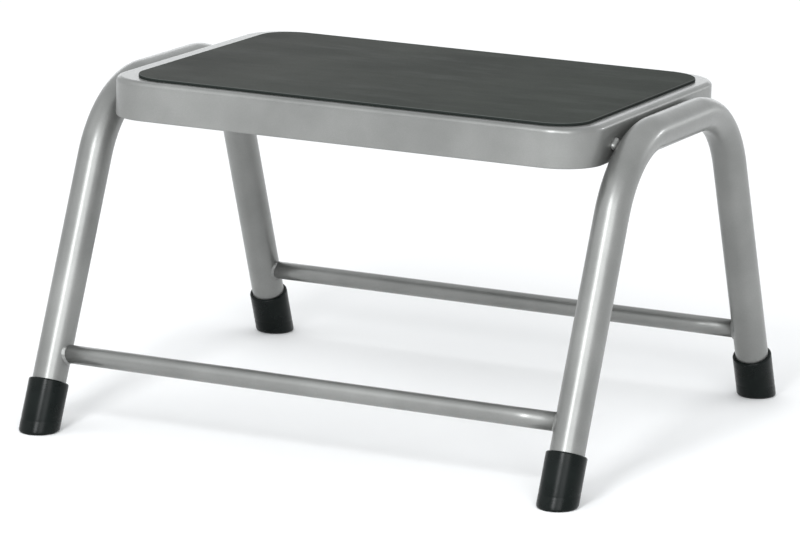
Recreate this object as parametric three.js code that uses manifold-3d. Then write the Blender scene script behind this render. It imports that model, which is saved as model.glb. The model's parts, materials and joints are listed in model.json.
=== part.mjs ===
// Fixed one-step stool: a pressed steel pan with a rubber tread mat, welded between two bent
// tube leg frames that stand on rubber ferrules and are tied by two round stretchers.
// Millimetres, +Z up. The origin is on the floor under the middle of the step, +X runs along
// the step's long side to the user's right, and -Y is the front.
import * as THREE from 'three';
import { mergeVertices } from 'three/addons/utils/BufferGeometryUtils.js';
import Module from 'manifold-3d';

const wasm = await Module();
wasm.setup();

// ---- driving dimensions ----

const STEP_HEIGHT = 223;            // top of the steel pan above the floor
const PAN_LENGTH = 337;             // along X
const PAN_WIDTH = 234;              // along Y
const PAN_DEPTH = 25.5;             // height of the turned-down skirt, top face included
const PAN_SHEET = 1.5;
const PAN_CORNER_RADIUS = 30;
const PAN_EDGE_RADIUS = 3.5;        // outside radius of the pressed top edge

const MAT_LENGTH = 313;             // along X
const MAT_WIDTH = 216;              // along Y
const MAT_SHIFT_X = 3;              // the mat is glued a little off the pan's middle
const MAT_SHIFT_Y = -2.5;
const MAT_THICKNESS = 2;
const MAT_CORNER_RADIUS = 24;
const MAT_BEVEL = 0.6;

const RIB_X = 56;                   // ribs either side of the middle of the pan
const RIB_LENGTH = 224;
const RIB_CROWN = 24;
const RIB_HEIGHT = 15.5;
const RIB_FLANGE = 9;
const RIB_SHEET = 1.5;

const TUBE_RADIUS = 11;
const TUBE_WALL = 1.5;
const TUBE_GAP = 1;                 // clear space between the pan's skirt and the tube
const TOP_RUN_HEIGHT = 211;         // tube centre line over the floor along the step
const BEND_CORNER_Y = 82.5;         // where the leg's and the top run's centre lines would meet
const FOOT_Y = 169;                 // where a leg's centre line meets the floor
const BEND_RADIUS = 68;             // on the centre line

const STRETCHER_RADIUS = 6;
const STRETCHER_HEIGHT = 48;

const FERRULE_RADIUS = 13;
const FERRULE_LENGTH = 33;          // along the leg, from the floor to the rim
const FERRULE_FLOOR = 9;            // along the leg, from the floor to the bottom of the bore
const FERRULE_RIM_RADIUS = 1.2;

const WELD_Y = 69;                  // the four beads that join the pan to the tubes
const WELD_LENGTH = 11;
const WELD_ACROSS = 7;
const WELD_HEIGHT = 7;
const WELD_RISE = 5.5;              // height of the bead's middle over the tube's centre line
const COLLAR_RADIUS = 8.4;          // fillet weld round each end of a stretcher
const COLLAR_LENGTH = 3;

const FIT = 0.3;                    // gap left where a piece is cut by its neighbour

const BEND_STEPS = 9;
const TUBE_SIDES = 28;
const ROD_SIDES = 20;

// ---- sizes worked out from them ----

const PAN_END_X = PAN_LENGTH / 2;
const PAN_SIDE_Y = PAN_WIDTH / 2;
const SKIRT_BOTTOM = STEP_HEIGHT - PAN_DEPTH;
const FRAME_X = PAN_END_X + TUBE_GAP + TUBE_RADIUS;
const SPLAY = Math.atan2(FOOT_Y - BEND_CORNER_Y, TOP_RUN_HEIGHT);
const BEND_TURN = Math.PI / 2 - SPLAY;
const BEND_TANGENT = BEND_RADIUS * Math.tan(BEND_TURN / 2);
const BEND_CENTRE_Y = BEND_CORNER_Y - BEND_TANGENT;
const BEND_CENTRE_Z = TOP_RUN_HEIGHT - BEND_RADIUS;
const STRETCHER_Y = FOOT_Y - STRETCHER_HEIGHT * Math.tan(SPLAY);

// ---- materials ----

function silverPaint() {
  return new THREE.MeshStandardMaterial({ color: 0xa3a5a4, roughness: 0.4, metalness: 0.7 });
}

function matRubber() {
  return new THREE.MeshStandardMaterial({ color: 0x4b4e4c, roughness: 0.8, metalness: 0 });
}

function ferruleRubber() {
  return new THREE.MeshStandardMaterial({ color: 0x161717, roughness: 0.4, metalness: 0 });
}

// ---- solids for cutting ----

function toSolid(geometry) {
  const bare = geometry.clone();
  bare.deleteAttribute('normal');
  bare.deleteAttribute('uv');
  const merged = mergeVertices(bare);
  return new wasm.Manifold(new wasm.Mesh({
    numProp: 3,
    vertProperties: new Float32Array(merged.attributes.position.array),
    triVerts: new Uint32Array(merged.index.array),
  }));
}

function toGeometry(solid) {
  const mesh = solid.getMesh();
  const geometry = new THREE.BufferGeometry();
  geometry.setAttribute('position', new THREE.BufferAttribute(mesh.vertProperties, 3));
  geometry.setIndex(new THREE.BufferAttribute(mesh.triVerts, 1));
  geometry.computeVertexNormals();
  return geometry;
}

// A block that takes away everything below the height z.
function everythingBelow(z) {
  const size = 1000;
  return toSolid(new THREE.BoxGeometry(size, size, size).translate(0, 0, z - size / 2));
}

function rod(radius, from, to, sides) {
  const run = new THREE.Vector3().subVectors(to, from);
  const middle = new THREE.Vector3().addVectors(from, to).multiplyScalar(0.5);
  const turn = new THREE.Quaternion().setFromUnitVectors(
    new THREE.Vector3(0, 1, 0), run.clone().normalize());
  return new THREE.CylinderGeometry(radius, radius, run.length(), sides)
    .applyQuaternion(turn)
    .translate(middle.x, middle.y, middle.z);
}

// ---- pan and mat ----

function roundedRectangle(halfX, halfY, radius) {
  const x = halfX - radius;
  const y = halfY - radius;
  const shape = new THREE.Shape();
  shape.absarc(x, -y, radius, -Math.PI / 2, 0);
  shape.absarc(x, y, radius, 0, Math.PI / 2);
  shape.absarc(-x, y, radius, Math.PI / 2, Math.PI);
  shape.absarc(-x, -y, radius, Math.PI, Math.PI * 1.5);
  shape.closePath();
  return shape;
}

// A rounded slab between two heights, whose long edges carry a round of the given radius.
function roundedSlab(halfX, halfY, cornerRadius, edgeRadius, bottom, top, edgeSteps) {
  const outline = roundedRectangle(
    halfX - edgeRadius, halfY - edgeRadius, cornerRadius - edgeRadius);
  return new THREE.ExtrudeGeometry(outline, {
    depth: top - bottom - 2 * edgeRadius,
    bevelThickness: edgeRadius,
    bevelSize: edgeRadius,
    bevelSegments: edgeSteps,
    curveSegments: 4,
  }).translate(0, 0, bottom + edgeRadius);
}

function platformPan() {
  const spare = 2 * PAN_EDGE_RADIUS;
  const outside = toSolid(roundedSlab(
    PAN_END_X, PAN_SIDE_Y, PAN_CORNER_RADIUS, PAN_EDGE_RADIUS,
    SKIRT_BOTTOM - spare, STEP_HEIGHT, 3));
  const inside = toSolid(roundedSlab(
    PAN_END_X - PAN_SHEET, PAN_SIDE_Y - PAN_SHEET,
    PAN_CORNER_RADIUS - PAN_SHEET, PAN_EDGE_RADIUS - PAN_SHEET,
    SKIRT_BOTTOM - 2 * spare, STEP_HEIGHT - PAN_SHEET, 3));
  const pan = outside.subtract(inside).subtract(everythingBelow(SKIRT_BOTTOM));
  const mesh = new THREE.Mesh(toGeometry(pan), silverPaint());
  mesh.name = 'platform_pan';
  return mesh;
}

function treadMat() {
  const geometry = roundedSlab(
    MAT_LENGTH / 2, MAT_WIDTH / 2, MAT_CORNER_RADIUS, MAT_BEVEL, 0, MAT_THICKNESS, 1);
  const mesh = new THREE.Mesh(geometry, matRubber());
  mesh.name = 'tread_mat';
  mesh.position.set(MAT_SHIFT_X, MAT_SHIFT_Y, STEP_HEIGHT);
  return mesh;
}

// Hat-section rib: flanges against the underside of the pan, crown hanging below it.
function stiffenerRib(name, x) {
  const crown = RIB_CROWN / 2;
  const outer = crown + RIB_FLANGE;
  const inner = crown - RIB_SHEET;
  const shape = new THREE.Shape();
  shape.moveTo(-outer, 0);
  shape.lineTo(-outer, -RIB_SHEET);
  shape.lineTo(-crown, -RIB_SHEET);
  shape.lineTo(-crown, -RIB_HEIGHT);
  shape.lineTo(crown, -RIB_HEIGHT);
  shape.lineTo(crown, -RIB_SHEET);
  shape.lineTo(outer, -RIB_SHEET);
  shape.lineTo(outer, 0);
  shape.lineTo(inner, 0);
  shape.lineTo(inner, RIB_SHEET - RIB_HEIGHT);
  shape.lineTo(-inner, RIB_SHEET - RIB_HEIGHT);
  shape.lineTo(-inner, 0);
  shape.closePath();
  const geometry = new THREE.ExtrudeGeometry(shape, { depth: RIB_LENGTH, bevelEnabled: false })
    .rotateX(Math.PI / 2)
    .translate(0, RIB_LENGTH / 2, 0);
  const mesh = new THREE.Mesh(geometry, silverPaint());
  mesh.name = name;
  mesh.position.set(x, 0, STEP_HEIGHT - PAN_SHEET);
  return mesh;
}

// ---- leg frames ----
// A side group's own +X points from the tube towards the step. Its two ends are at -Y and +Y.

// Unit vector up a leg's centre line from its foot, at the end -1 or +1.
function legDirection(end) {
  return new THREE.Vector3(0, -end * Math.sin(SPLAY), Math.cos(SPLAY));
}

function legPoint(end, distance) {
  return legDirection(end).multiplyScalar(distance).add(new THREE.Vector3(0, end * FOOT_Y, 0));
}

// Centre line of a leg frame: leg, bend, top run, bend, leg. A sweep along it puts one step on
// each straight and the rest on the bends.
class LegFrameLine extends THREE.Curve {
  constructor() {
    super();
    const foot = legPoint(-1, FERRULE_FLOOR + FIT);
    const bendStart = Math.PI / 2 + BEND_TURN;
    const bendY = BEND_CENTRE_Y + BEND_RADIUS * Math.sin(BEND_TURN);
    const bendZ = BEND_CENTRE_Z + BEND_RADIUS * Math.cos(BEND_TURN);
    const arc = (y, from, to) => new THREE.EllipseCurve(
      y, BEND_CENTRE_Z, BEND_RADIUS, BEND_RADIUS, from, to, true);
    const line = (y1, z1, y2, z2) => new THREE.LineCurve(
      new THREE.Vector2(y1, z1), new THREE.Vector2(y2, z2));
    this.pieces = [
      line(foot.y, foot.z, -bendY, bendZ),
      arc(-BEND_CENTRE_Y, bendStart, Math.PI / 2),
      line(-BEND_CENTRE_Y, TOP_RUN_HEIGHT, BEND_CENTRE_Y, TOP_RUN_HEIGHT),
      arc(BEND_CENTRE_Y, Math.PI / 2, Math.PI - bendStart),
      line(bendY, bendZ, -foot.y, foot.z),
    ];
    this.pieceSteps = [1, BEND_STEPS, 1, BEND_STEPS, 1];
    this.steps = this.pieceSteps.reduce((sum, steps) => sum + steps, 0);
  }

  getUtoTmapping(u) {
    return u;
  }

  getPoint(t, target = new THREE.Vector3()) {
    let step = t * this.steps;
    let index = 0;
    while (index < this.pieces.length - 1 && step > this.pieceSteps[index]) {
      step -= this.pieceSteps[index];
      index += 1;
    }
    const point = this.pieces[index].getPoint(step / this.pieceSteps[index]);
    return target.set(0, point.x, point.y);
  }
}

function sweepAlongFrame(section) {
  const path = new LegFrameLine();
  return new THREE.ExtrudeGeometry(section, {
    steps: path.steps,
    extrudePath: path,
    curveSegments: TUBE_SIDES / 2,
  });
}

function tubeSection() {
  const section = new THREE.Shape();
  section.absarc(0, 0, TUBE_RADIUS, 0, Math.PI * 2);
  const bore = new THREE.Path();
  bore.absarc(0, 0, TUBE_RADIUS - TUBE_WALL, 0, Math.PI * 2, true);
  section.holes.push(bore);
  return section;
}

// The frame's tube as a solid bar, larger all round by the fit, to cut its neighbours with.
function frameCutter() {
  const section = new THREE.Shape();
  section.absarc(0, 0, TUBE_RADIUS + FIT, 0, Math.PI * 2);
  return toSolid(sweepAlongFrame(section));
}

// A rubber cup that leans with the leg and is cut level with the floor.
function ferruleGeometry() {
  const bore = TUBE_RADIUS + FIT;
  const below = 2 * FERRULE_RADIUS * Math.tan(SPLAY);
  const rim = FERRULE_RIM_RADIUS;
  const profile = new THREE.Path();
  profile.moveTo(0, -below);
  profile.lineTo(FERRULE_RADIUS, -below);
  profile.lineTo(FERRULE_RADIUS, FERRULE_LENGTH - rim);
  profile.absarc(FERRULE_RADIUS - rim, FERRULE_LENGTH - rim, rim, 0, Math.PI / 2);
  profile.lineTo(bore, FERRULE_LENGTH);
  profile.lineTo(bore, FERRULE_FLOOR);
  profile.lineTo(0, FERRULE_FLOOR);
  const cup = new THREE.LatheGeometry(profile.getPoints(3), TUBE_SIDES)
    .rotateX(Math.PI / 2 - SPLAY);
  return toGeometry(toSolid(cup).subtract(everythingBelow(0)));
}

// A bead in the gap between the tube and the pan's skirt, on the upper flank of the bend.
function platformWeldGeometry(end, frame) {
  const angle = Math.asin((WELD_Y - BEND_CENTRE_Y) / BEND_RADIUS);
  const tubeZ = BEND_CENTRE_Z + BEND_RADIUS * Math.cos(angle);
  const skirtX = TUBE_RADIUS + TUBE_GAP;
  const bead = new THREE.SphereGeometry(0.5, 16, 12)
    .scale(WELD_ACROSS, WELD_LENGTH, WELD_HEIGHT)
    .rotateX(-end * angle)
    .translate(skirtX - TUBE_GAP / 2, end * WELD_Y, tubeZ + WELD_RISE);
  const skirt = new THREE.BoxGeometry(PAN_DEPTH, PAN_WIDTH, PAN_DEPTH * 2)
    .translate(skirtX - FIT + PAN_DEPTH / 2, 0, tubeZ);
  return toGeometry(toSolid(bead).subtract(frame).subtract(toSolid(skirt)));
}

// A fillet weld round the end of a stretcher, shaped to the leg that it meets.
function stretcherWeldGeometry(end, frame) {
  const bore = STRETCHER_RADIUS + FIT;
  const toe = TUBE_RADIUS + COLLAR_LENGTH;
  const profile = [
    new THREE.Vector2(bore, 0),
    new THREE.Vector2(COLLAR_RADIUS, 0),
    new THREE.Vector2(COLLAR_RADIUS, TUBE_RADIUS),
    new THREE.Vector2(bore + (COLLAR_RADIUS - bore) * 0.45, TUBE_RADIUS + COLLAR_LENGTH * 0.4),
    new THREE.Vector2(bore + 0.2, toe),
    new THREE.Vector2(bore, toe),
    new THREE.Vector2(bore, 0),
  ];
  const collar = new THREE.LatheGeometry(profile, ROD_SIDES)
    .rotateZ(-Math.PI / 2)
    .translate(0, end * STRETCHER_Y, STRETCHER_HEIGHT);
  return toGeometry(toSolid(collar).subtract(frame));
}

// One side of the stool, with names for the ends at -Y and +Y of the group.
function legSide(side, endNames) {
  const group = new THREE.Group();
  const frame = frameCutter();
  const add = (name, geometry, material) => {
    const mesh = new THREE.Mesh(geometry, material);
    mesh.name = name;
    group.add(mesh);
    return mesh;
  };

  add(`${side}_leg_frame`, sweepAlongFrame(tubeSection()), silverPaint());
  for (const end of [-1, 1]) {
    const endName = end < 0 ? endNames[0] : endNames[1];
    const ferrule = add(`${endName}_${side}_ferrule`, ferruleGeometry(), ferruleRubber());
    ferrule.position.y = end * FOOT_Y;
    ferrule.rotation.z = end < 0 ? 0 : Math.PI;
    add(`${endName}_${side}_platform_weld`, platformWeldGeometry(end, frame), silverPaint());
    add(`${endName}_${side}_stretcher_weld`, stretcherWeldGeometry(end, frame), silverPaint());
  }
  return group;
}

// ---- stretchers ----

// A round bar from leg to leg, its ends coped to the tubes.
function stretcher(name, end) {
  const at = (x) => new THREE.Vector3(x, end * STRETCHER_Y, STRETCHER_HEIGHT);
  let bar = toSolid(rod(STRETCHER_RADIUS, at(-FRAME_X), at(FRAME_X), ROD_SIDES));
  for (const x of [-FRAME_X, FRAME_X]) {
    const offset = new THREE.Vector3(x, 0, 0);
    const leg = rod(
      TUBE_RADIUS + FIT,
      legPoint(end, 0).add(offset), legPoint(end, TOP_RUN_HEIGHT / 2).add(offset), TUBE_SIDES);
    bar = bar.subtract(toSolid(leg));
  }
  const mesh = new THREE.Mesh(toGeometry(bar), silverPaint());
  mesh.name = name;
  return mesh;
}

// ---- the stool ----

const leftSide = legSide('left', ['front', 'rear']);
leftSide.position.x = -FRAME_X;

const rightSide = legSide('right', ['rear', 'front']);
rightSide.position.x = FRAME_X;
rightSide.rotation.z = Math.PI;

const stool = new THREE.Group();
stool.add(
  platformPan(),
  treadMat(),
  stiffenerRib('left_stiffener_rib', -RIB_X),
  stiffenerRib('right_stiffener_rib', RIB_X),
  leftSide,
  rightSide,
  stretcher('front_stretcher', -1),
  stretcher('rear_stretcher', 1),
);

export default stool;
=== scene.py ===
"""Looks of the one-step platform stool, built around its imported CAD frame.

Metres, in the CAD's frame: the origin is on the floor under the middle of the step, +X along the
step's long side, -Y at the front, +Z up. Every CAD node is replaced by a finer piece of the same
size in the same place.
"""

import json
from math import asin, atan2, cos, hypot, pi, radians, sin, sqrt, tan

import bmesh
import bpy
from mathutils import Matrix, Vector


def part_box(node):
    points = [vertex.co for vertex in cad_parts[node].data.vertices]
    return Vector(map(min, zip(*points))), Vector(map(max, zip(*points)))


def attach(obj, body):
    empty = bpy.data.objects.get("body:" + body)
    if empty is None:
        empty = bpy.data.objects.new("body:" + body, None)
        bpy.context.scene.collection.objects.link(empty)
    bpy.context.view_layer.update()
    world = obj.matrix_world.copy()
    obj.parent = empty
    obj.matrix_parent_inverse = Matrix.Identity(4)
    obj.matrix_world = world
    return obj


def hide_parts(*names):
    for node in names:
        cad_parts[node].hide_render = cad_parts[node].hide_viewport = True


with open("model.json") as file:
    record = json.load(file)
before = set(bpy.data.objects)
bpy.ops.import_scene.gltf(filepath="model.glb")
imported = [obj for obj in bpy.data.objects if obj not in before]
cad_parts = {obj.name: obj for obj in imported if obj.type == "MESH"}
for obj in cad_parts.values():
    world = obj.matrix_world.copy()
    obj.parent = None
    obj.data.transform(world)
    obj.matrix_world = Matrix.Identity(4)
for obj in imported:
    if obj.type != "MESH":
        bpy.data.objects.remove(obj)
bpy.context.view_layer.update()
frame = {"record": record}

MM = 0.001

# ---- sizes read from the frame ----

pan_low, pan_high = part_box("platform_pan")
mat_low, mat_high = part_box("tread_mat")
tube_low, tube_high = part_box("right_leg_frame")
bar_low, bar_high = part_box("front_stretcher")
foot_low, foot_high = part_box("front_left_ferrule")
mounts = {m["name"]: Vector(m["pos_m"]) for m in frame["record"]["mounts"]}

FRAME_X = mounts["front_right_sole"].x
FOOT_Y = -mounts["front_right_sole"].y
TUBE_R = (tube_high.x - tube_low.x) / 2
TOP_RUN_Z = tube_high.z - TUBE_R
BAR_R = (bar_high.z - bar_low.z) / 2
BAR_Y = -(bar_low.y + bar_high.y) / 2
BAR_Z = (bar_low.z + bar_high.z) / 2
FOOT_R = (foot_high.x - foot_low.x) / 2
SPLAY = atan2(FOOT_Y - BAR_Y, BAR_Z)

# ---- sizes that the frame doesn't state ----

BEND_R = 68 * MM
TUBE_WALL = 1.5 * MM
PAN_CORNER_R = 30 * MM
PAN_EDGE_R = 3.5 * MM
PAN_SHEET = 1.5 * MM
PAN_LIP_R = 0.7 * MM
MAT_CORNER_R = 24 * MM
MAT_ROUND = 0.8 * MM
FOOT_LENGTH = 33 * MM
FOOT_BORE_FLOOR = 9 * MM
TUBE_END_GAP = 0.3 * MM

CORNER_Y = FOOT_Y - TOP_RUN_Z * tan(SPLAY)
BEND_TURN = pi / 2 - SPLAY
BEND_Y = CORNER_Y - BEND_R * tan(BEND_TURN / 2)
BEND_Z = TOP_RUN_Z - BEND_R


# ---- node helpers ----

# The mix node's sockets when it mixes colours.
MIX_FACTOR, MIX_FIRST, MIX_SECOND, MIX_RESULT = 0, 6, 7, 2


class Nodes:
    """A short way to write a material's node tree."""

    def __init__(self, name):
        self.material = bpy.data.materials.new(name)
        self.material.use_nodes = True
        self.tree = self.material.node_tree
        self.place = self.add("ShaderNodeTexCoord").outputs["Object"]

    def add(self, kind, **values):
        node = self.tree.nodes.new(kind)
        for key, value in values.items():
            setattr(node, key, value)
        return node

    def feed(self, socket, value):
        """Gives an input socket another node's output, a colour or a number."""
        if isinstance(value, bpy.types.NodeSocket):
            self.tree.links.new(value, socket)
        elif isinstance(value, tuple):
            socket.default_value = (*value, 1.0)
        else:
            socket.default_value = value

    def surface(self, values):
        """Sets sockets of the material's own shader, and gives the finished material."""
        shader = self.tree.nodes["Principled BSDF"]
        for name, value in values.items():
            self.feed(shader.inputs[name], value)
        return self.material

    def noise(self, scale, detail=2.0, roughness=0.5, stretch=None):
        node = self.add("ShaderNodeTexNoise")
        node.inputs["Scale"].default_value = scale
        node.inputs["Detail"].default_value = detail
        node.inputs["Roughness"].default_value = roughness
        place = self.place
        if stretch:
            mapping = self.add("ShaderNodeMapping")
            mapping.inputs["Scale"].default_value = stretch
            self.feed(mapping.inputs["Vector"], place)
            place = mapping.outputs["Vector"]
        self.feed(node.inputs["Vector"], place)
        return node.outputs["Fac"]

    def spread(self, value, low=0.3, high=0.7, to_low=0.0, to_high=1.0):
        """Maps a range of a value, by default the one where most of a noise lies, to another."""
        node = self.add("ShaderNodeMapRange")
        node.inputs["From Min"].default_value = low
        node.inputs["From Max"].default_value = high
        node.inputs["To Min"].default_value = to_low
        node.inputs["To Max"].default_value = to_high
        self.feed(node.inputs["Value"], value)
        return node.outputs["Result"]

    def blend(self, factor, first, second, mode="MIX"):
        node = self.add("ShaderNodeMix", data_type="RGBA", blend_type=mode)
        self.feed(node.inputs[MIX_FACTOR], factor)
        self.feed(node.inputs[MIX_FIRST], first)
        self.feed(node.inputs[MIX_SECOND], second)
        return node.outputs[MIX_RESULT]

    def math(self, operation, first, second):
        node = self.add("ShaderNodeMath", operation=operation)
        self.feed(node.inputs[0], first)
        self.feed(node.inputs[1], second)
        return node.outputs[0]

    def bump(self, height, distance, strength, under=None):
        node = self.add("ShaderNodeBump")
        node.inputs["Strength"].default_value = strength
        node.inputs["Distance"].default_value = distance
        self.feed(node.inputs["Height"], height)
        if under is not None:
            self.feed(node.inputs["Normal"], under)
        return node.outputs["Normal"]

    def part_of(self, vector, axis):
        split = self.add("ShaderNodeSeparateXYZ")
        self.feed(split.inputs["Vector"], vector)
        return split.outputs[axis]

    def facing_up(self, low, high):
        """0 on faces whose upward part is below low, 1 where it is over high."""
        normal = self.add("ShaderNodeNewGeometry").outputs["Normal"]
        return self.spread(self.part_of(normal, "Z"), low, high)


# ---- materials ----

PAINT_DARK = (0.176, 0.179, 0.173)
PAINT_LIGHT = (0.249, 0.252, 0.244)
PAINT_GLINT = (1.13, 1.13, 1.13)

MAT_DARK = (0.0238, 0.0258, 0.0230)
MAT_LIGHT = (0.0432, 0.0455, 0.0410)
MAT_SCUFF = (0.048, 0.051, 0.048)
MAT_GRAIN = (1.35, 1.35, 1.35)
MAT_RIGHT_END = (0.62, 0.69, 0.63)
# Painted highlight: the colour of the mat's round upper edge, painted lighter where light catches it.
MAT_EDGE_PAINTED_HIGHLIGHT = (0.078, 0.084, 0.079)
# Painted shade: the colour the mat's sides are painted to look darker in shade.
MAT_SIDE_PAINTED_SHADE = (0.014, 0.018, 0.016)

RUBBER_DARK = (0.0022, 0.0040, 0.0036)
RUBBER_LIGHT = (0.0042, 0.0066, 0.0060)
RUBBER_DUST = (0.012, 0.014, 0.013)
DUST_HEIGHT = 9 * MM

FLOOR_DARK = (0.89, 0.89, 0.89)
FLOOR_LIGHT = (0.93, 0.93, 0.93)


def silver_paint():
    """Satin silver metallic paint: fine flake, a slight orange peel and faint clouding."""
    n = Nodes("silver_paint")
    cloud = n.noise(16.0, detail=3.0, roughness=0.55)
    flake = n.noise(2600.0, detail=1.0)
    speck = n.noise(420.0)
    tone = n.blend(n.spread(cloud), PAINT_DARK, PAINT_LIGHT)
    tone = n.blend(n.spread(flake, 0.35, 0.65), tone, PAINT_GLINT, "MULTIPLY")
    rough = n.spread(cloud, to_low=0.35, to_high=0.41)
    rough = n.math("ADD", rough, n.spread(speck, to_high=0.04))
    peel = n.bump(n.noise(210.0), distance=0.12 * MM, strength=0.35)
    return n.surface({
        "Base Color": tone,
        "Metallic": 0.74,
        "Roughness": rough,
        "Coat Weight": 0.3,
        "Coat Roughness": 0.14,
        "Normal": n.bump(flake, distance=0.02 * MM, strength=0.5, under=peel),
    })


def mat_rubber():
    """Dark grey rubber: a matt, lightly scuffed top with a fine grain, a painted highlight on the round
    edge and painted shade on the sides.
    """
    n = Nodes("mat_rubber")
    cloud = n.noise(9.0, detail=4.0, roughness=0.6)
    scuff = n.noise(38.0, detail=3.0, roughness=0.6, stretch=(0.5, 1.6, 1.0))
    grain = n.noise(1300.0, roughness=0.6)
    towards_right = n.spread(n.part_of(n.place, "X"), low=-0.15, high=0.12)
    tone = n.blend(n.spread(cloud), MAT_DARK, MAT_LIGHT)
    tone = n.blend(n.spread(scuff, 0.55, 0.8, to_high=0.5), tone, MAT_SCUFF)
    tone = n.blend(n.spread(grain, 0.35, 0.65, to_high=0.6), tone, MAT_GRAIN, "MULTIPLY")
    tone = n.blend(towards_right, tone, MAT_RIGHT_END, "MULTIPLY")
    # Painted highlight: the round upper edge, between the top and the sides, is painted lighter where
    # light catches it.
    tone = n.blend(n.facing_up(0.86, 0.98), MAT_EDGE_PAINTED_HIGHLIGHT, tone)
    # Painted shade: the sides, which face away from up, are painted near black as if in shade.
    tone = n.blend(n.facing_up(0.35, 0.75), MAT_SIDE_PAINTED_SHADE, tone)
    return n.surface({
        "Base Color": tone,
        "Roughness": n.spread(scuff, 0.3, 0.8, to_low=0.88, to_high=0.78),
        "Specular IOR Level": 0.2,
        "Normal": n.bump(grain, distance=0.1 * MM, strength=0.55),
    })


def ferrule_rubber():
    """Smooth black moulded rubber with a soft shine, greyer where it scuffs near the floor."""
    n = Nodes("ferrule_rubber")
    cloud = n.noise(70.0, detail=3.0, roughness=0.6)
    near_floor = n.spread(n.part_of(n.place, "Z"), 0.0, DUST_HEIGHT, to_low=0.55, to_high=0.0)
    dust = n.math("MULTIPLY", near_floor, n.spread(cloud, 0.4, 0.65))
    tone = n.blend(n.spread(cloud), RUBBER_DARK, RUBBER_LIGHT)
    return n.surface({
        "Base Color": n.blend(dust, tone, RUBBER_DUST),
        "Roughness": n.spread(cloud, to_low=0.24, to_high=0.33),
        "Specular IOR Level": 0.14,
        "Normal": n.bump(n.noise(900.0), distance=0.05 * MM, strength=0.4),
    })


def floor_white():
    """Matt white paper, very slightly uneven."""
    n = Nodes("floor_white")
    return n.surface({
        "Base Color": n.blend(n.noise(3.0, detail=3.0), FLOOR_DARK, FLOOR_LIGHT),
        "Roughness": 0.8,
        "Specular IOR Level": 0.1,
    })


MATERIALS = {
    "silver_paint": silver_paint(),
    "mat_rubber": mat_rubber(),
    "ferrule_rubber": ferrule_rubber(),
}


# ---- mesh helpers ----

MERGE_DISTANCE = 1e-7


def skin(rings, closed=False):
    """A bmesh of quads between rings of equal counts, capped at both ends or closed on itself."""
    builder = bmesh.new()
    loops = [[builder.verts.new(point) for point in ring] for ring in rings]
    pairs = list(zip(loops, loops[1:]))
    if closed:
        pairs.append((loops[-1], loops[0]))
    for first, second in pairs:
        for i in range(len(first)):
            j = (i + 1) % len(first)
            builder.faces.new((first[i], first[j], second[j], second[i]))
    if not closed:
        builder.faces.new(loops[0])
        builder.faces.new(loops[-1])
    return builder


def finish_piece(builder, node, slot):
    """Turns a bmesh into a smooth-shaded piece that stands for a CAD node."""
    bmesh.ops.remove_doubles(builder, verts=builder.verts, dist=MERGE_DISTANCE)
    bmesh.ops.recalc_face_normals(builder, faces=builder.faces)
    name = node + "_fine"
    mesh = bpy.data.meshes.new(name)
    builder.to_mesh(mesh)
    builder.free()
    for polygon in mesh.polygons:
        polygon.use_smooth = True
    mesh.materials.append(MATERIALS[slot])
    piece = bpy.data.objects.new(name, mesh)
    bpy.context.scene.collection.objects.link(piece)
    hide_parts(node)
    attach(piece, "root")


def between(a, b, share):
    """The point of a plane that lies a share of the way from a to b."""
    return a[0] + (b[0] - a[0]) * share, a[1] + (b[1] - a[1]) * share


def arc(centre, radius, start, end, steps):
    """Points of a circle's arc in a plane, from one angle to another, in radians."""
    angles = [start + (end - start) * k / steps for k in range(steps + 1)]
    return [(centre[0] + radius * cos(a), centre[1] + radius * sin(a)) for a in angles]


def round_ring(centre, first, second, count):
    """Points of an ellipse round a centre, with two vectors as its half axes."""
    angles = [2 * pi * k / count for k in range(count)]
    return [centre + first * cos(a) + second * sin(a) for a in angles]


def ripple(x):
    """A slow, repeatable unevenness between about -1 and 1."""
    return 0.5 * sin(x) + 0.3 * sin(2.3 * x + 1.1) + 0.2 * sin(5.1 * x + 2.7)


# ---- pan and mat ----

CORNER_STEPS = 20
SIDE_STEPS = 6
LEAST_CORNER_R = 0.5 * MM
FLAT_INSET = 0.8

PAN_EDGE_STEPS = 10
PAN_INNER_EDGE_STEPS = 8
PAN_LIP_STEPS = 5
PAN_RIM = 6 * MM
# A ring this far beside a round edge keeps the shading of the flat face flat.
BESIDE_EDGE = 0.6 * MM

MAT_ROUND_STEPS = 6
# Millimetres in from the side, and up from the pan.
MAT_LOWER_EDGE = ((1.2, 0.0), (0.3, 0.0), (0.05, 0.15), (0.0, 0.5))
MAT_TOP_INSETS = (0.3, 2, 8, 25, 50)


def rounded_outline(half_x, half_y, radius):
    """Points round a rectangle with round corners, anticlockwise, the same count for any size."""
    corners = []
    for k, (sx, sy) in enumerate(((1, -1), (1, 1), (-1, 1), (-1, -1))):
        centre = (sx * (half_x - radius), sy * (half_y - radius))
        start = (k - 1) * pi / 2
        corners.append(arc(centre, radius, start, start + pi / 2, CORNER_STEPS))
    points = []
    for corner, following in zip(corners, corners[1:] + corners[:1]):
        points += corner
        points += [between(corner[-1], following[0], k / SIDE_STEPS) for k in range(1, SIDE_STEPS)]
    return points


def box_rings(low, high, radius, profile):
    """The outline of a box with round corners, at each (inset, height) of a profile."""
    middle = (low + high) / 2
    half = (high - low) / 2
    rings = []
    for inset, z in profile:
        corner_r = max(radius - inset, LEAST_CORNER_R)
        outline = rounded_outline(half.x - inset, half.y - inset, corner_r)
        rings.append([Vector((middle.x + x, middle.y + y, z)) for x, y in outline])
    return rings


def flat_inset(low, high):
    """How far in the innermost ring of a flat face lies."""
    return FLAT_INSET * (high.y - low.y) / 2


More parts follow.
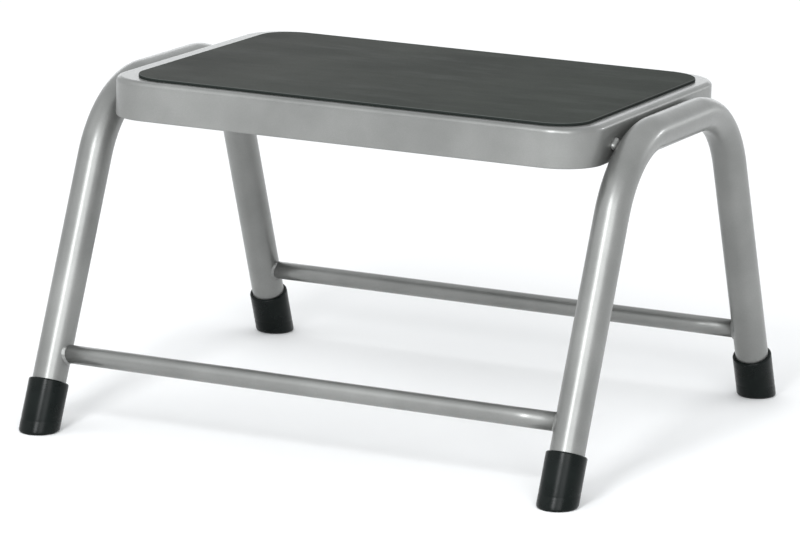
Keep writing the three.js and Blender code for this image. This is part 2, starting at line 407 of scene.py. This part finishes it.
def build_pan():
    """A pressed sheet with a flat top, a rolled edge, and a skirt that ends in a round lip."""
    top = pan_high.z
    under = top - PAN_SHEET
    deep = flat_inset(pan_low, pan_high)
    edge = (PAN_EDGE_R, top - PAN_EDGE_R)
    lip_z = pan_low.z + PAN_LIP_R
    skirt = top - PAN_EDGE_R - lip_z
    profile = [(deep, top), (PAN_EDGE_R + PAN_RIM, top), (PAN_EDGE_R + BESIDE_EDGE, top)]
    profile += arc(edge, PAN_EDGE_R, pi / 2, pi, PAN_EDGE_STEPS)
    profile += [(0.0, lip_z + skirt * share) for share in (0.97, 0.66, 0.33, 0.03)]
    profile += arc((PAN_LIP_R, lip_z), PAN_LIP_R, pi, 1.5 * pi, PAN_LIP_STEPS)
    profile += arc((PAN_SHEET - PAN_LIP_R, lip_z), PAN_LIP_R, -pi / 2, 0, PAN_LIP_STEPS)
    profile += [(PAN_SHEET, lip_z + skirt * share) for share in (0.03, 0.5, 0.97)]
    profile += arc(edge, PAN_EDGE_R - PAN_SHEET, pi, pi / 2, PAN_INNER_EDGE_STEPS)
    profile += [(PAN_EDGE_R + BESIDE_EDGE, under), (deep, under)]
    rings = box_rings(pan_low, pan_high, PAN_CORNER_R, profile)
    finish_piece(skin(rings), "platform_pan", "silver_paint")


def build_mat():
    """A flat sheet with a round upper edge and a slightly eased lower one."""
    top, bottom = mat_high.z, mat_low.z
    deep = flat_inset(mat_low, mat_high)
    profile = [(deep, bottom)]
    profile += [(inset * MM, bottom + rise * MM) for inset, rise in MAT_LOWER_EDGE]
    profile += arc((MAT_ROUND, top - MAT_ROUND), MAT_ROUND, pi, pi / 2, MAT_ROUND_STEPS)
    profile += [(MAT_ROUND + inset * MM, top) for inset in MAT_TOP_INSETS]
    profile += [(deep, top)]
    rings = box_rings(mat_low, mat_high, MAT_CORNER_R, profile)
    finish_piece(skin(rings), "tread_mat", "mat_rubber")


# ---- stiffener ribs ----

RIB_SHEET = 1.5 * MM
RIB_CROWN = 12 * MM
RIB_BEND_R = 2.2 * MM
RIB_BEND_STEPS = 5
RIB_FLANGE_STEPS = 6
RIB_STEPS = 90
SPOT_COUNT = 5
SPOT_R = 2.6 * MM
SPOT_DEPTH = 0.25 * MM
SPOT_OUTWARDS = 1 * MM
SPOT_MARGIN = 0.1 * MM


def rib_line(depth, half_width, offset):
    """Half of the hat section, from the crown's middle to the flange's edge, on one face."""
    flange_z = offset - RIB_SHEET
    flange_r = RIB_BEND_R - RIB_SHEET + offset
    crown_centre = (RIB_CROWN - RIB_BEND_R, RIB_BEND_R - depth)
    flange_centre = (RIB_CROWN - offset + flange_r, flange_z - flange_r)
    crown = arc(crown_centre, RIB_BEND_R - offset, -pi / 2, 0, RIB_BEND_STEPS)
    flange = arc(flange_centre, flange_r, pi, pi / 2, RIB_BEND_STEPS)
    edge = (half_width, flange_z)
    shares = [(k + 1) / RIB_FLANGE_STEPS for k in range(RIB_FLANGE_STEPS)]
    flat = [between(flange[-1], edge, share) for share in shares]
    return [(0.0, offset - depth)] + crown + flange + flat


def build_rib(node):
    """A hat-section channel with bent corners, dimpled where spot welds hold it to the pan."""
    low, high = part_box(node)
    middle = (low.x + high.x) / 2
    half_width = (high.x - low.x) / 2
    length = high.y - low.y
    outside = rib_line(high.z - low.z, half_width, 0.0)
    inside = rib_line(high.z - low.z, half_width, RIB_SHEET)
    half = outside + inside[::-1]
    section = half + [(-x, z) for x, z in half[::-1]]
    spot_x = (RIB_CROWN + half_width) / 2 + SPOT_OUTWARDS
    spots = [low.y + length * (k + 0.5) / SPOT_COUNT for k in range(SPOT_COUNT)]
    rings = []
    for k in range(RIB_STEPS + 1):
        y = low.y + length * k / RIB_STEPS
        ring = []
        for x, z in section:
            reach = min(hypot(abs(x) - spot_x, y - spot) for spot in spots)
            flange_underside = -RIB_SHEET - SPOT_MARGIN < z < -RIB_SHEET / 2
            if flange_underside and reach < SPOT_R:
                z += SPOT_DEPTH * (0.5 + 0.5 * cos(pi * reach / SPOT_R))
            ring.append(Vector((middle + x, y, high.z + z)))
        rings.append(ring)
    finish_piece(skin(rings), node, "silver_paint")


# ---- leg frames ----

TUBE_SIDES = 64
BEND_STEPS = 36
LEG_STEPS = 10
TOP_STEPS = 6
BEND_FLATTEN = 0.02
# The flattening comes in over the first quarter of a bend and goes over the last.
SQUEEZE_RAMP = 4


def frame_stations():
    """(y, z, slope, squeeze) along a leg frame, from its front foot to its rear one.

    The slope is the line's angle over the horizontal. The squeeze goes from 0 to 1 in the bends.
    """
    tube_end = FOOT_BORE_FLOOR + TUBE_END_GAP
    foot = (-FOOT_Y + tube_end * sin(SPLAY), tube_end * cos(SPLAY))
    bend = arc((-BEND_Y, BEND_Z), BEND_R, pi / 2 + BEND_TURN, pi / 2, BEND_STEPS)
    front = []
    for k in range(LEG_STEPS):
        y, z = between(foot, bend[0], k / LEG_STEPS)
        front.append((y, z, BEND_TURN, 0.0))
    for k, (y, z) in enumerate(bend):
        share = k / BEND_STEPS
        squeeze = min(1.0, SQUEEZE_RAMP * share, SQUEEZE_RAMP * (1 - share))
        front.append((y, z, BEND_TURN * (1 - share), squeeze))
    top = []
    for k in range(1, TOP_STEPS):
        top.append((-BEND_Y + 2 * BEND_Y * k / TOP_STEPS, TOP_RUN_Z, 0.0, 0.0))
    rear = [(-y, z, -slope, squeeze) for y, z, slope, squeeze in front[::-1]]
    return front + top + rear


def tube_rings(x, radius):
    """Rings round a leg frame's line, slightly flattened in the bends."""
    rings = []
    for y, z, slope, squeeze in frame_stations():
        in_plane = radius * (1 - BEND_FLATTEN * squeeze)
        up = Vector((0, -sin(slope), cos(slope))) * in_plane
        across = Vector((radius, 0, 0))
        rings.append(round_ring(Vector((x, y, z)), up, across, TUBE_SIDES))
    return rings


def build_leg_frame(node, x):
    """One bent tube with a real wall, open at both feet."""
    outer = tube_rings(x, TUBE_R)
    inner = tube_rings(x, TUBE_R - TUBE_WALL)
    finish_piece(skin(outer + inner[::-1], closed=True), node, "silver_paint")


# ---- ferrules ----

FOOT_SIDES = 72
FOOT_BORE_GAP = 0.09 * MM
FOOT_MOUTH_DEPTH = 0.4 * MM
FOOT_MOUTH_FLARE = 0.35 * MM
FOOT_RIM_R = 1.2 * MM
FOOT_RIM_STEPS = 6
# Shares of the length, and the millimetres that the wall is hollow there.
FOOT_WALL = ((0.75, 0.03), (0.55, 0.05))
LINE_Z = 8.5 * MM
LINE_HALF = 1.1 * MM
LINE_DEPTH = 0.12 * MM
SOLE_R = 1.9 * MM
SOLE_STEPS = 6
ABOVE_SOLE = 1.5 * MM
# Millimetres in from the wall to each moulded ring, and the ring's own section.
SOLE_RINGS = (4.0, 7.5)
SOLE_RING_SECTION = ((0.0, 0.0), (0.3, 0.5), (1.5, 0.5), (1.8, 0.0))


def build_ferrule(node, x, end):
    """A cup that leans with the leg, with a round rim, a line near the floor and a ringed sole."""
    axis = Vector((0, -end * sin(SPLAY), cos(SPLAY)))
    side = Vector((1, 0, 0))
    front = side.cross(axis)
    foot = Vector((x, end * FOOT_Y, 0))
    bore = TUBE_R + FOOT_BORE_GAP

    def cup_ring(distance, radius):
        """A ring square to the leg, at a distance from the floor along it."""
        return round_ring(foot + axis * distance, side * radius, front * radius, FOOT_SIDES)

    def floor_ring(height, inset):
        """Where the ferrule's wall crosses a height over the floor, drawn in by an inset."""
        ring = []
        for spoke in round_ring(Vector(), side, front, FOOT_SIDES):
            point = foot + spoke * FOOT_R
            point += axis * ((height - point.z) / axis.z)
            point.z = height
            ring.append(point - Vector((spoke.x, spoke.y, 0)).normalized() * inset)
        return ring

    rings = [
        cup_ring(FOOT_BORE_FLOOR, bore / 2),
        cup_ring(FOOT_BORE_FLOOR, bore),
        cup_ring(FOOT_LENGTH - FOOT_MOUTH_DEPTH, bore),
        cup_ring(FOOT_LENGTH, bore + FOOT_MOUTH_FLARE),
    ]
    rim_centre = (FOOT_R - FOOT_RIM_R, FOOT_LENGTH - FOOT_RIM_R)
    for radius, distance in arc(rim_centre, FOOT_RIM_R, pi / 2, 0, FOOT_RIM_STEPS):
        rings.append(cup_ring(distance, radius))
    for share, hollow in FOOT_WALL:
        rings.append(cup_ring(FOOT_LENGTH * share, FOOT_R - hollow * MM))
    for share in (1, 0.5, 0, -0.5, -1):
        rings.append(floor_ring(LINE_Z + LINE_HALF * share, LINE_DEPTH * (1 - abs(share))))
    rings.append(floor_ring(SOLE_R + ABOVE_SOLE, 0.0))
    for inset, height in arc((SOLE_R, SOLE_R), SOLE_R, pi, 1.5 * pi, SOLE_STEPS):
        rings.append(floor_ring(height, inset))
    for start in SOLE_RINGS:
        for inset, height in SOLE_RING_SECTION:
            rings.append(floor_ring(height * MM, (start + inset) * MM))
    finish_piece(skin(rings), node, "ferrule_rubber")


# ---- stretchers and their welds ----

BAR_SIDES = 48
BAR_STEPS = 12
WELD_STEPS = 120
WELD_LEG = 1.3 * MM
WELD_ROOT = 0.3 * MM
WELD_BAR_SINK = 0.05 * MM
WELD_LEG_SINK = 0.08 * MM
WELD_FACE_STEPS = 8
WELD_BULGE = 0.05
# Over the top the fillet is thin for an angle, then grows over another.
WELD_THIN = 0.12
WELD_THIN_ANGLE = 0.35
WELD_GROW_ANGLE = 0.5
WELD_RIPPLES = 17
WELD_RIPPLE = 0.03
WELD_UNEVEN = 0.10


def leg_surface_x(y, z, end):
    """How far a leg's inner face stands from the middle of the stool, at a place along it."""
    away = (y - end * FOOT_Y) * cos(SPLAY) + end * z * sin(SPLAY)
    return FRAME_X - sqrt(max(TUBE_R ** 2 - away ** 2, 0.0))


def bar_point(radius, angle, end):
    """(y, z) of a point round a stretcher's axis."""
    return end * BAR_Y + radius * cos(angle), BAR_Z + radius * sin(angle)


def build_stretcher(node, end):
    """A round bar with its ends coped to the legs."""
    outline = [bar_point(BAR_R, 2 * pi * k / BAR_SIDES, end) for k in range(BAR_SIDES)]
    rings = []
    for k in range(BAR_STEPS + 1):
        share = 2 * k / BAR_STEPS - 1
        rings.append([Vector((share * leg_surface_x(y, z, end), y, z)) for y, z in outline])
    finish_piece(skin(rings), node, "silver_paint")


def build_stretcher_weld(node, side, end):
    """A rippled fillet round the bar, thin over the top where the run starts and stops."""
    rings = []
    for k in range(WELD_STEPS):
        angle = 2 * pi * k / WELD_STEPS
        from_top = abs((angle + pi / 2) % (2 * pi) - pi)
        run = min(1.0, WELD_THIN + max(0.0, from_top - WELD_THIN_ANGLE) / WELD_GROW_ANGLE)
        uneven = WELD_UNEVEN * ripple(3 * angle + side + 2 * end)
        leg = WELD_LEG * run * (1 + WELD_RIPPLE * sin(WELD_RIPPLES * angle) + uneven)
        y, z = bar_point(BAR_R - WELD_ROOT, angle, end)
        ring = [Vector((side * (leg_surface_x(y, z, end) + WELD_ROOT), y, z))]
        for j in range(WELD_FACE_STEPS + 1):
            share = j / WELD_FACE_STEPS
            bulge = WELD_BULGE * leg * sin(pi * share)
            y, z = bar_point(BAR_R - WELD_BAR_SINK + leg * share + bulge, angle, end)
            x = leg_surface_x(y, z, end) + WELD_LEG_SINK - leg * (1 - share) - bulge
            ring.append(Vector((side * x, y, z)))
        rings.append(ring)
    finish_piece(skin(rings, closed=True), node, "silver_paint")


# ---- welds from the pan to the tubes ----

BEAD_STEPS = 48
BEAD_SIDES = 24
BEAD_R = 2.5 * MM
BEAD_HALF = 4.8 * MM
BEAD_RISE = 6.6 * MM
BEAD_OFF_SKIRT = 0.35 * BEAD_R
BEAD_WAIST = 0.04
BEAD_UNEVEN = 0.03


def build_platform_weld(node, side, end):
    """A short, slightly uneven bead in the valley between the skirt and the tube."""
    low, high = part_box(node)
    y = (low.y + high.y) / 2
    slope = asin((abs(y) - BEND_Y) / BEND_R)
    along = Vector((0, end * cos(slope), -sin(slope)))
    up = Vector((0, end * sin(slope), cos(slope)))
    across = Vector((side, 0, 0))
    tube_axis = Vector((side * (pan_high.x + BEAD_OFF_SKIRT), y, BEND_Z + BEND_R * cos(slope)))
    middle = tube_axis + up * BEAD_RISE
    rings = []
    for k in range(1, BEAD_STEPS):
        share = 2 * k / BEAD_STEPS - 1
        taper = sqrt(1 - share ** 4)
        uneven = BEAD_UNEVEN * ripple(4 * share + side + end) - BEAD_WAIST * cos(2 * pi * share)
        radius = BEAD_R * taper * (1 + uneven)
        centre = middle + along * BEAD_HALF * share
        rings.append(round_ring(centre, across * radius, up * radius, BEAD_SIDES))
    finish_piece(skin(rings), node, "silver_paint")


# ---- the stool ----

FRONT_AND_REAR = ((-1, "front"), (1, "rear"))
LEFT_AND_RIGHT = ((-1, "left"), (1, "right"))

build_pan()
build_mat()
for side, side_name in LEFT_AND_RIGHT:
    build_rib(side_name + "_stiffener_rib")
for end, end_name in FRONT_AND_REAR:
    build_stretcher(end_name + "_stretcher", end)
for side, side_name in LEFT_AND_RIGHT:
    build_leg_frame(side_name + "_leg_frame", side * FRAME_X)
    for end, end_name in FRONT_AND_REAR:
        corner = end_name + "_" + side_name
        build_ferrule(corner + "_ferrule", side * FRAME_X, end)
        build_stretcher_weld(corner + "_stretcher_weld", side, end)
        build_platform_weld(corner + "_platform_weld", side, end)


# ---- floor, light and camera ----

FLOOR_HALF = 9.0
LIGHT_COLOUR = (0.97, 0.985, 1.0)
WORLD_COLOUR = (0.81, 0.825, 0.835, 1.0)
WORLD_STRENGTH = 1.1


def build_floor():
    mesh = bmesh.new()
    corners = [(sx * FLOOR_HALF, sy * FLOOR_HALF, 0) for sx, sy in ((-1, -1), (1, -1), (1, 1), (-1, 1))]
    mesh.faces.new([mesh.verts.new(corner) for corner in corners])
    data = bpy.data.meshes.new("floor")
    mesh.to_mesh(data)
    mesh.free()
    data.materials.append(floor_white())
    floor = bpy.data.objects.new("floor", data)
    bpy.context.scene.collection.objects.link(floor)


def build_world():
    """An even, pale surround."""
    world = bpy.data.worlds.new("studio")
    world.use_nodes = True
    bpy.context.scene.world = world
    background = world.node_tree.nodes["Background"]
    background.inputs["Color"].default_value = WORLD_COLOUR
    background.inputs["Strength"].default_value = WORLD_STRENGTH


def away_from_stool(azimuth, elevation):
    """A direction from angles in degrees. Azimuth 0 is in front, and +X is positive."""
    a, e = radians(azimuth), radians(elevation)
    return Vector((sin(a) * cos(e), -cos(a) * cos(e), sin(e)))


def add_softbox(name, azimuth, elevation, distance, width, height, power):
    """A rectangular light that looks at the middle of the stool and stays out of the picture."""
    light = bpy.data.lights.new(name, "AREA")
    light.shape = "RECTANGLE"
    light.size = width
    light.size_y = height
    light.energy = power
    light.color = LIGHT_COLOUR
    back = away_from_stool(azimuth, elevation)
    lamp = bpy.data.objects.new(name, light)
    lamp.location = back * distance + Vector((0, 0, pan_high.z / 2))
    lamp.rotation_euler = back.to_track_quat("Z", "Y").to_euler()
    lamp.visible_camera = False
    bpy.context.scene.collection.objects.link(lamp)


def build_camera():
    """The photo's viewing angle. The camera is rolled a little, as the photo's was."""
    azimuth, elevation, roll = 24.783, 12.244, 1.665
    distance = 3.1629
    target = Vector((-0.00578, -0.00375, 0.09548))
    back = away_from_stool(azimuth, elevation)
    right = Vector((cos(radians(azimuth)), sin(radians(azimuth)), 0))
    up = back.cross(right)
    tilted_right = right * cos(radians(roll)) + up * sin(radians(roll))
    tilted_up = up * cos(radians(roll)) - right * sin(radians(roll))
    camera_data = bpy.data.cameras.new("camera")
    camera_data.lens = 218.625
    camera_data.sensor_width = 36.0
    camera_data.clip_end = 100.0
    camera = bpy.data.objects.new("camera", camera_data)
    turn = Matrix((tilted_right, tilted_up, back)).transposed().to_4x4()
    camera.matrix_world = Matrix.Translation(target + back * distance) @ turn
    bpy.context.scene.collection.objects.link(camera)
    bpy.context.scene.camera = camera


build_floor()
build_world()
add_softbox("key", azimuth=4, elevation=33, distance=3.0, width=0.6, height=1.4, power=46.5)
add_softbox("side", azimuth=36, elevation=26, distance=3.0, width=1.2, height=1.6, power=25)
add_softbox("fill", azimuth=-50, elevation=38, distance=3.0, width=2.6, height=2.2, power=9)
add_softbox("spot", azimuth=146, elevation=11, distance=3.2, width=0.3, height=0.3, power=6)
add_softbox("back", azimuth=-155, elevation=10, distance=3.4, width=3.0, height=0.9, power=10)
build_camera()
bpy.context.scene.view_settings.view_transform = "Standard"
